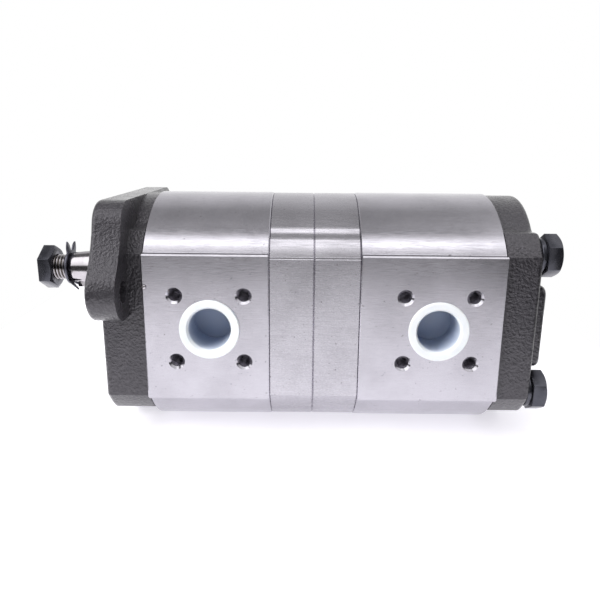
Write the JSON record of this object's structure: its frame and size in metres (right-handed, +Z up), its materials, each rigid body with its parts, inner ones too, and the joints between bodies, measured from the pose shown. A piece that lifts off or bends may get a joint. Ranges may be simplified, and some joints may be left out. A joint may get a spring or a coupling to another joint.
{
  "type": "tandem hydraulic gear pump",
  "caption": "Tandem external gear pump: cast covers with a mounting flange, aluminium bodies with side ports, through bolts and a tapered drive shaft.",
  "frame": {"origin": "centre of the flange mounting face, on the drive shaft axis", "axes": "+X from the mounting flange to the rear cover, along the shafts; +Z up, from the driven gear axis to the drive shaft axis; -Y the side with the larger ports"},
  "size_m": [0.2287, 0.121, 0.105],
  "materials": {
    "cast_iron": "sand cast, phosphated dark",
    "body_aluminium": "extruded and milled, satin",
    "plate_aluminium": "extruded and milled, satin",
    "black_steel": "black oxide",
    "spring_steel": "blued",
    "ground_steel": "ground",
    "block_aluminium": "turned",
    "liner_bronze": "sintered",
    "seal_rubber": "moulded",
    "plug_plastic": "moulded white polythene"
  },
  "bodies": {
    "housing": {"front_cover": "cast_iron", "rear_cover": "cast_iron", "front_body": "body_aluminium", "rear_body": "body_aluminium", "front_intermediate_plate": "plate_aluminium", "rear_intermediate_plate": "plate_aluminium", "through_bolts": "black_steel", "bolt_washers": "black_steel", "seal_retaining_ring": "spring_steel", "dowel_pins": "ground_steel", "joint_pin": "ground_steel", "shaft_seal": "seal_rubber", "front_cover_seal": "seal_rubber", "front_plate_seal": "seal_rubber", "middle_plate_seal": "seal_rubber", "rear_plate_seal": "seal_rubber", "rear_cover_seal": "seal_rubber", "front_pump_front_bearing_block": "block_aluminium", "front_pump_front_bearing_liners": "liner_bronze", "front_pump_front_axial_seal": "seal_rubber", "front_pump_rear_bearing_block": "block_aluminium", "front_pump_rear_bearing_liners": "liner_bronze", "front_pump_rear_axial_seal": "seal_rubber", "rear_pump_front_bearing_block": "block_aluminium", "rear_pump_front_bearing_liners": "liner_bronze", "rear_pump_front_axial_seal": "seal_rubber", "rear_pump_rear_bearing_block": "block_aluminium", "rear_pump_rear_bearing_liners": "liner_bronze", "rear_pump_rear_axial_seal": "seal_rubber"},
    "drive_shaft": {"drive_shaft": "ground_steel", "shaft_key": "ground_steel", "lock_washer": "spring_steel", "shaft_nut": "black_steel", "coupling_sleeve": "ground_steel"},
    "front_driven_gear": {"front_driven_gear": "ground_steel"},
    "rear_drive_gear": {"rear_drive_gear": "ground_steel"},
    "rear_driven_gear": {"rear_driven_gear": "ground_steel"},
    "front_suction_plug": {"front_suction_plug": "plug_plastic"},
    "rear_suction_plug": {"rear_suction_plug": "plug_plastic"},
    "front_pressure_plug": {"front_pressure_plug": "plug_plastic"},
    "rear_pressure_plug": {"rear_pressure_plug": "plug_plastic"}
  },
  "joints": [
    {"name": "drive_spin", "type": "hinge", "parent": "housing", "child": "drive_shaft", "pos_m": [0, 0, 0], "axis": [1, 0, 0], "continuous": true},
    {"name": "front_driven_spin", "type": "hinge", "parent": "housing", "child": "front_driven_gear", "pos_m": [0, 0, -0.033], "axis": [1, 0, 0], "continuous": true},
    {"name": "rear_drive_spin", "type": "hinge", "parent": "housing", "child": "rear_drive_gear", "pos_m": [0, 0, 0], "axis": [1, 0, 0], "continuous": true},
    {"name": "rear_driven_spin", "type": "hinge", "parent": "housing", "child": "rear_driven_gear", "pos_m": [0, 0, -0.033], "axis": [1, 0, 0], "continuous": true},
    {"name": "front_suction_plug_pull", "type": "slide", "parent": "housing", "child": "front_suction_plug", "axis": [0, -1, 0], "range_m": [0, 0.025]},
    {"name": "rear_suction_plug_pull", "type": "slide", "parent": "housing", "child": "rear_suction_plug", "axis": [0, -1, 0], "range_m": [0, 0.025]},
    {"name": "front_pressure_plug_pull", "type": "slide", "parent": "housing", "child": "front_pressure_plug", "axis": [0, 1, 0], "range_m": [0, 0.025]},
    {"name": "rear_pressure_plug_pull", "type": "slide", "parent": "housing", "child": "rear_pressure_plug", "axis": [0, 1, 0], "range_m": [0, 0.025]}
  ],
  "couplings": [
    {"joint": "front_driven_spin", "follows": "drive_spin", "ratio": -1},
    {"joint": "rear_drive_spin", "follows": "drive_spin", "ratio": 1},
    {"joint": "rear_driven_spin", "follows": "drive_spin", "ratio": -1}
  ]
}
